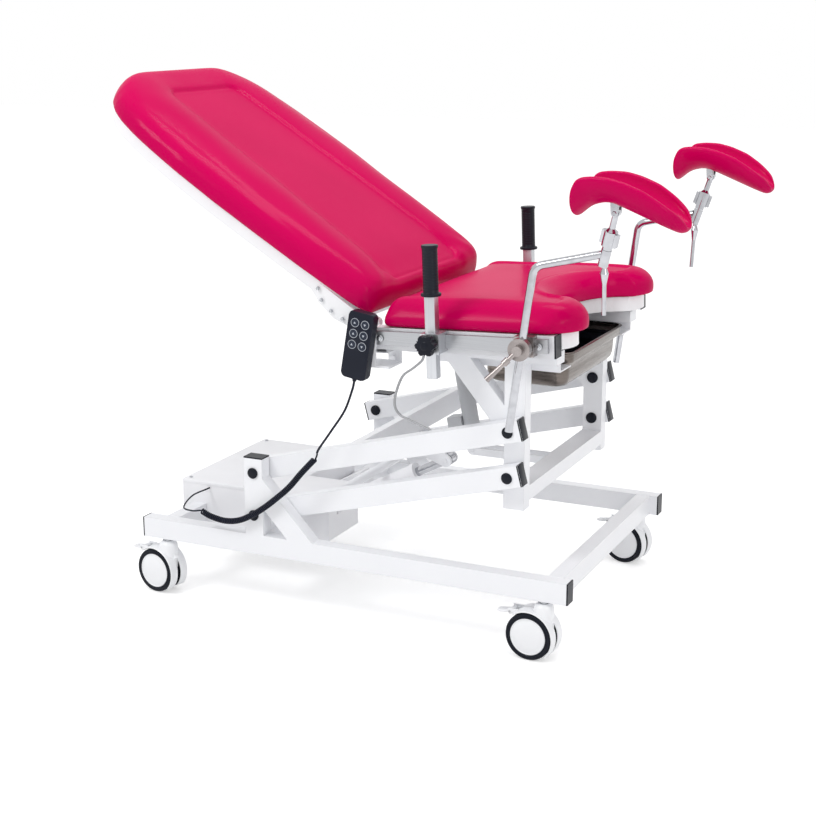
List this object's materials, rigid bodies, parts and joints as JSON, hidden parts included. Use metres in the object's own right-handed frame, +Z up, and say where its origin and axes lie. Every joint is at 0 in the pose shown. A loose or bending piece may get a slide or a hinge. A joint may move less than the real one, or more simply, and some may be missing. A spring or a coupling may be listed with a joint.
{
  "type": "delivery table",
  "caption": "Electric delivery table: casters, parallel lift arms, tilting seat with front cut, raising backrest, knee shells, grips, basin and hand control.",
  "frame": {"origin": "on the floor, midway along the length and width of the whole table", "axes": "+X towards the foot end, +Y to the side away from the hand control, +Z up"},
  "size_m": [1.3746, 0.8176, 1.1419],
  "materials": {
    "black": "black moulded plastic",
    "board": "white moulded board",
    "chrome": "bright chrome",
    "grey": "grey plastic",
    "key": "dark key with pale ring",
    "rubber": "black rubber",
    "steel": "brushed stainless steel",
    "tyre": "black tyre, white disc",
    "vinyl": "crimson vinyl",
    "white": "white powder coat"
  },
  "bodies": {
    "base": {"base_frame": "white", "base_fittings": "black", "control_box": "board", "cord_coil": "rubber"},
    "upper_arms": {"upper_arms": "white"},
    "lower_arms": {"lower_arms": "white"},
    "table": {"table_frame": "white", "cable_loop": "grey", "cord_top": "rubber"},
    "lift_body": {"lift_body": "white"},
    "lift_rod": {"lift_rod": "steel"},
    "tilt_body": {"tilt_body": "grey"},
    "tilt_rod": {"tilt_rod": "steel"},
    "back_body": {"back_body": "grey"},
    "back_rod": {"back_rod": "steel"},
    "seat": {"seat_frame": "white", "seat_rails": "steel", "seat_caps": "black", "seat_board": "board", "seat_cushion": "vinyl"},
    "back": {"back_pan": "board", "back_cushion": "vinyl"},
    "basin": {"basin": "steel"},
    "handset": {"handset": "black"},
    "key_1": {"key_1": "key"},
    "key_2": {"key_2": "key"},
    "key_3": {"key_3": "key"},
    "key_4": {"key_4": "key"},
    "key_5": {"key_5": "key"},
    "key_6": {"key_6": "key"},
    "swivel_nf": {"caster_fork_nf": "board"},
    "wheels_nf": {"caster_wheels_nf": "tyre"},
    "pedal_nf": {"caster_pedal_nf": "board"},
    "swivel_nh": {"caster_fork_nh": "board"},
    "wheels_nh": {"caster_wheels_nh": "tyre"},
    "pedal_nh": {"caster_pedal_nh": "board"},
    "swivel_ff": {"caster_fork_ff": "board"},
    "wheels_ff": {"caster_wheels_ff": "tyre"},
    "pedal_ff": {"caster_pedal_ff": "board"},
    "swivel_fh": {"caster_fork_fh": "board"},
    "wheels_fh": {"caster_wheels_fh": "tyre"},
    "pedal_fh": {"caster_pedal_fh": "board"},
    "grip_clamp_n": {"grip_clamp_n": "steel"},
    "grip_knob_n": {"grip_knob_n": "black"},
    "grip_post_n": {"grip_post_n": "steel"},
    "grip_clamp_f": {"grip_clamp_f": "steel"},
    "grip_knob_f": {"grip_knob_f": "black"},
    "grip_post_f": {"grip_post_f": "steel"},
    "leg_clamp_n": {"leg_clamp_n": "steel"},
    "leg_tommy_n": {"leg_tommy_n": "chrome"},
    "leg_rod_n": {"leg_rod_n": "chrome"},
    "leg_joint_n": {"leg_joint_n": "chrome"},
    "leg_lever_n": {"leg_lever_n": "chrome"},
    "leg_shell_n": {"leg_shell_n": "vinyl"},
    "leg_clamp_f": {"leg_clamp_f": "steel"},
    "leg_tommy_f": {"leg_tommy_f": "chrome"},
    "leg_rod_f": {"leg_rod_f": "chrome"},
    "leg_joint_f": {"leg_joint_f": "chrome"},
    "leg_lever_f": {"leg_lever_f": "chrome"},
    "leg_shell_f": {"leg_shell_f": "vinyl"}
  },
  "joints": [
    {"name": "lift", "type": "hinge", "parent": "base", "child": "upper_arms", "pos_m": [-0.255, 0, 0.312], "axis": [0, -1, 0], "range_deg": [-13.5, 18.5]},
    {"name": "lower_arm_turn", "type": "hinge", "parent": "base", "child": "lower_arms", "pos_m": [-0.255, 0, 0.217], "axis": [0, -1, 0], "range_deg": [-13.6, 18.6]},
    {"name": "table_level", "type": "hinge", "parent": "upper_arms", "child": "table", "pos_m": [0.31669, 0, 0.45985], "axis": [0, -1, 0], "range_deg": [-18.6, 13.6]},
    {"name": "lift_swing", "type": "hinge", "parent": "base", "child": "lift_body", "pos_m": [-0.215, 0, 0.15], "axis": [0, -1, 0], "range_deg": [-11.61, 15.87]},
    {"name": "lift_stroke", "type": "slide", "parent": "lift_body", "child": "lift_rod", "axis": [0.8851, 0, 0.4654], "range_m": [-0.03783, 0.05173]},
    {"name": "seat_tilt", "type": "hinge", "parent": "table", "child": "seat", "pos_m": [0.38, 0, 0.64], "axis": [0, 1, 0], "range_deg": [-2, 12]},
    {"name": "tilt_swing", "type": "hinge", "parent": "table", "child": "tilt_body", "pos_m": [0.125, 0, 0.33], "axis": [0, 1, 0], "range_deg": [-0.23, 1.3]},
    {"name": "tilt_stroke", "type": "slide", "parent": "tilt_body", "child": "tilt_rod", "axis": [-0.1888, 0, 0.982], "range_m": [-0.01124, 0.06478]},
    {"name": "back_raise", "type": "hinge", "parent": "seat", "child": "back", "pos_m": [0.005, 0, 0.65], "axis": [0, 1, 0], "range_deg": [-32.6, 22.4]},
    {"name": "back_swing", "type": "hinge", "parent": "seat", "child": "back_body", "pos_m": [-0.027, 0, 0.55], "axis": [0, 1, 0], "range_deg": [-27.15, 18.68]},
    {"name": "back_stroke", "type": "slide", "parent": "back_body", "child": "back_rod", "axis": [-0.6886, 0, 0.7251], "range_m": [-0.05409, 0.03722]},
    {"name": "basin_slide", "type": "slide", "parent": "table", "child": "basin", "axis": [1, 0, 0], "range_m": [0, 0.19]},
    {"name": "handset_lift", "type": "slide", "parent": "table", "child": "handset", "axis": [0, 0, 1], "range_m": [0, 0.06]},
    {"name": "key_1_press", "type": "slide", "parent": "handset", "child": "key_1", "axis": [0, 1, 0], "range_m": [0, 0.0012], "stiffness_N_per_m": 400, "springref_m": -0.001},
    {"name": "key_2_press", "type": "slide", "parent": "handset", "child": "key_2", "axis": [0, 1, 0], "range_m": [0, 0.0012], "stiffness_N_per_m": 400, "springref_m": -0.001},
    {"name": "key_3_press", "type": "slide", "parent": "handset", "child": "key_3", "axis": [0, 1, 0], "range_m": [0, 0.0012], "stiffness_N_per_m": 400, "springref_m": -0.001},
    {"name": "key_4_press", "type": "slide", "parent": "handset", "child": "key_4", "axis": [0, 1, 0], "range_m": [0, 0.0012], "stiffness_N_per_m": 400, "springref_m": -0.001},
    {"name": "key_5_press", "type": "slide", "parent": "handset", "child": "key_5", "axis": [0, 1, 0], "range_m": [0, 0.0012], "stiffness_N_per_m": 400, "springref_m": -0.001},
    {"name": "key_6_press", "type": "slide", "parent": "handset", "child": "key_6", "axis": [0, 1, 0], "range_m": [0, 0.0012], "stiffness_N_per_m": 400, "springref_m": -0.001},
    {"name": "swivel_nf", "type": "hinge", "parent": "base", "child": "swivel_nf", "pos_m": [0.408, -0.314, 0.128], "axis": [0, 0, 1], "continuous": true},
    {"name": "roll_nf", "type": "hinge", "parent": "swivel_nf", "child": "wheels_nf", "pos_m": [0.38306, -0.31226, 0.05], "axis": [0.0698, 0.9976, 0], "continuous": true},
    {"name": "brake_nf", "type": "hinge", "parent": "swivel_nf", "child": "pedal_nf", "pos_m": [0.33917, -0.30919, 0.094], "axis": [0.0698, 0.9976, 0], "range_deg": [-14, 8]},
    {"name": "swivel_nh", "type": "hinge", "parent": "base", "child": "swivel_nh", "pos_m": [-0.49, -0.314, 0.128], "axis": [0, 0, 1], "continuous": true},
    {"name": "roll_nh", "type": "hinge", "parent": "swivel_nh", "child": "wheels_nh", "pos_m": [-0.51469, -0.31009, 0.05], "axis": [0.1564, 0.9877, 0], "continuous": true},
    {"name": "brake_nh", "type": "hinge", "parent": "swivel_nh", "child": "pedal_nh", "pos_m": [-0.55815, -0.30321, 0.094], "axis": [0.1564, 0.9877, 0], "range_deg": [-14, 8]},
    {"name": "swivel_ff", "type": "hinge", "parent": "base", "child": "swivel_ff", "pos_m": [0.408, 0.314, 0.128], "axis": [0, 0, 1], "continuous": true},
    {"name": "roll_ff", "type": "hinge", "parent": "swivel_ff", "child": "wheels_ff", "pos_m": [0.38331, 0.31791, 0.05], "axis": [0.1564, 0.9877, 0], "continuous": true},
    {"name": "brake_ff", "type": "hinge", "parent": "swivel_ff", "child": "pedal_ff", "pos_m": [0.33985, 0.32479, 0.094], "axis": [0.1564, 0.9877, 0], "range_deg": [-14, 8]},
    {"name": "swivel_fh", "type": "hinge", "parent": "base", "child": "swivel_fh", "pos_m": [-0.49, 0.314, 0.128], "axis": [0, 0, 1], "continuous": true},
    {"name": "roll_fh", "type": "hinge", "parent": "swivel_fh", "child": "wheels_fh", "pos_m": [-0.51378, 0.30628, 0.05], "axis": [-0.309, 0.9511, 0], "continuous": true},
    {"name": "brake_fh", "type": "hinge", "parent": "swivel_fh", "child": "pedal_fh", "pos_m": [-0.55562, 0.29268, 0.094], "axis": [-0.309, 0.9511, 0], "range_deg": [-14, 8]},
    {"name": "grip_slide_n", "type": "slide", "parent": "seat", "child": "grip_clamp_n", "axis": [0.9993, 0, 0.0384], "range_m": [-0.085, 0.12]},
    {"name": "grip_knob_turn_n", "type": "hinge", "parent": "grip_clamp_n", "child": "grip_knob_n", "pos_m": [0.16896, -0.3325, 0.6369], "axis": [0, 1, 0], "range_deg": [-180, 180]},
    {"name": "grip_height_n", "type": "slide", "parent": "grip_clamp_n", "child": "grip_post_n", "axis": [-0.0384, 0, 0.9993], "range_m": [-0.06, 0.05]},
    {"name": "grip_slide_f", "type": "slide", "parent": "seat", "child": "grip_clamp_f", "axis": [0.9993, 0, 0.0384], "range_m": [-0.035, 0.17]},
    {"name": "grip_knob_turn_f", "type": "hinge", "parent": "grip_clamp_f", "child": "grip_knob_f", "pos_m": [0.12, 0.3325, 0.63501], "axis": [0, 1, 0], "range_deg": [-180, 180]},
    {"name": "grip_height_f", "type": "slide", "parent": "grip_clamp_f", "child": "grip_post_f", "axis": [-0.0384, 0, 0.9993], "range_m": [-0.06, 0.05]},
    {"name": "leg_slide_n", "type": "slide", "parent": "seat", "child": "leg_clamp_n", "axis": [0.9993, 0, 0.0384], "range_m": [-0.1, 0]},
    {"name": "leg_tommy_turn_n", "type": "hinge", "parent": "leg_clamp_n", "child": "leg_tommy_n", "pos_m": [0.359, -0.338, 0.644], "axis": [-0.0924, 0.9957, 0], "range_deg": [-90, 90]},
    {"name": "leg_swing_n", "type": "hinge", "parent": "leg_clamp_n", "child": "leg_rod_n", "pos_m": [0.359, -0.338, 0.644], "axis": [0.1334, 0.0124, 0.991], "range_deg": [-60, 3]},
    {"name": "leg_joint_turn_n", "type": "hinge", "parent": "leg_rod_n", "child": "leg_joint_n", "pos_m": [0.516, -0.323, 0.826], "axis": [0.2726, -0.1887, 0.9435], "range_deg": [-40, 40]},
    {"name": "leg_lever_turn_n", "type": "hinge", "parent": "leg_rod_n", "child": "leg_lever_n", "pos_m": [0.516, -0.323, 0.826], "axis": [-0.0182, 0.1184, -0.9928], "range_deg": [-90, 90]},
    {"name": "leg_shell_tilt_n", "type": "hinge", "parent": "leg_joint_n", "child": "leg_shell_n", "pos_m": [0.542, -0.341, 0.916], "axis": [0, 1, 0], "range_deg": [-15, 15]},
    {"name": "leg_slide_f", "type": "slide", "parent": "seat", "child": "leg_clamp_f", "axis": [0.9993, 0, 0.0384], "range_m": [-0.1, 0]},
    {"name": "leg_tommy_turn_f", "type": "hinge", "parent": "leg_clamp_f", "child": "leg_tommy_f", "pos_m": [0.359, 0.338, 0.644], "axis": [-0.0924, -0.9957, 0], "range_deg": [-90, 90]},
    {"name": "leg_swing_f", "type": "hinge", "parent": "leg_clamp_f", "child": "leg_rod_f", "pos_m": [0.359, 0.338, 0.644], "axis": [0.1334, -0.0124, 0.991], "range_deg": [-3, 60]},
    {"name": "leg_joint_turn_f", "type": "hinge", "parent": "leg_rod_f", "child": "leg_joint_f", "pos_m": [0.516, 0.323, 0.826], "axis": [0.2726, 0.1887, 0.9435], "range_deg": [-40, 40]},
    {"name": "leg_lever_turn_f", "type": "hinge", "parent": "leg_rod_f", "child": "leg_lever_f", "pos_m": [0.516, 0.323, 0.826], "axis": [-0.0182, -0.1184, -0.9928], "range_deg": [-90, 90]},
    {"name": "leg_shell_tilt_f", "type": "hinge", "parent": "leg_joint_f", "child": "leg_shell_f", "pos_m": [0.542, 0.341, 0.916], "axis": [0, 1, 0], "range_deg": [-15, 15]}
  ],
  "couplings": [
    {"joint": "lower_arm_turn", "follows": "lift", "ratio": 1},
    {"joint": "table_level", "follows": "lift", "ratio": -1},
    {"joint": "lift_swing", "follows": "lift", "ratio": 0.85336},
    {"joint": "lift_stroke", "follows": "lift", "m_per_rad": 0.15936},
    {"joint": "tilt_swing", "follows": "seat_tilt", "ratio": 0.10774},
    {"joint": "tilt_stroke", "follows": "seat_tilt", "m_per_rad": 0.30673},
    {"joint": "back_swing", "follows": "back_raise", "ratio": 0.8304},
    {"joint": "back_stroke", "follows": "back_raise", "m_per_rad": 0.094778}
  ]
}
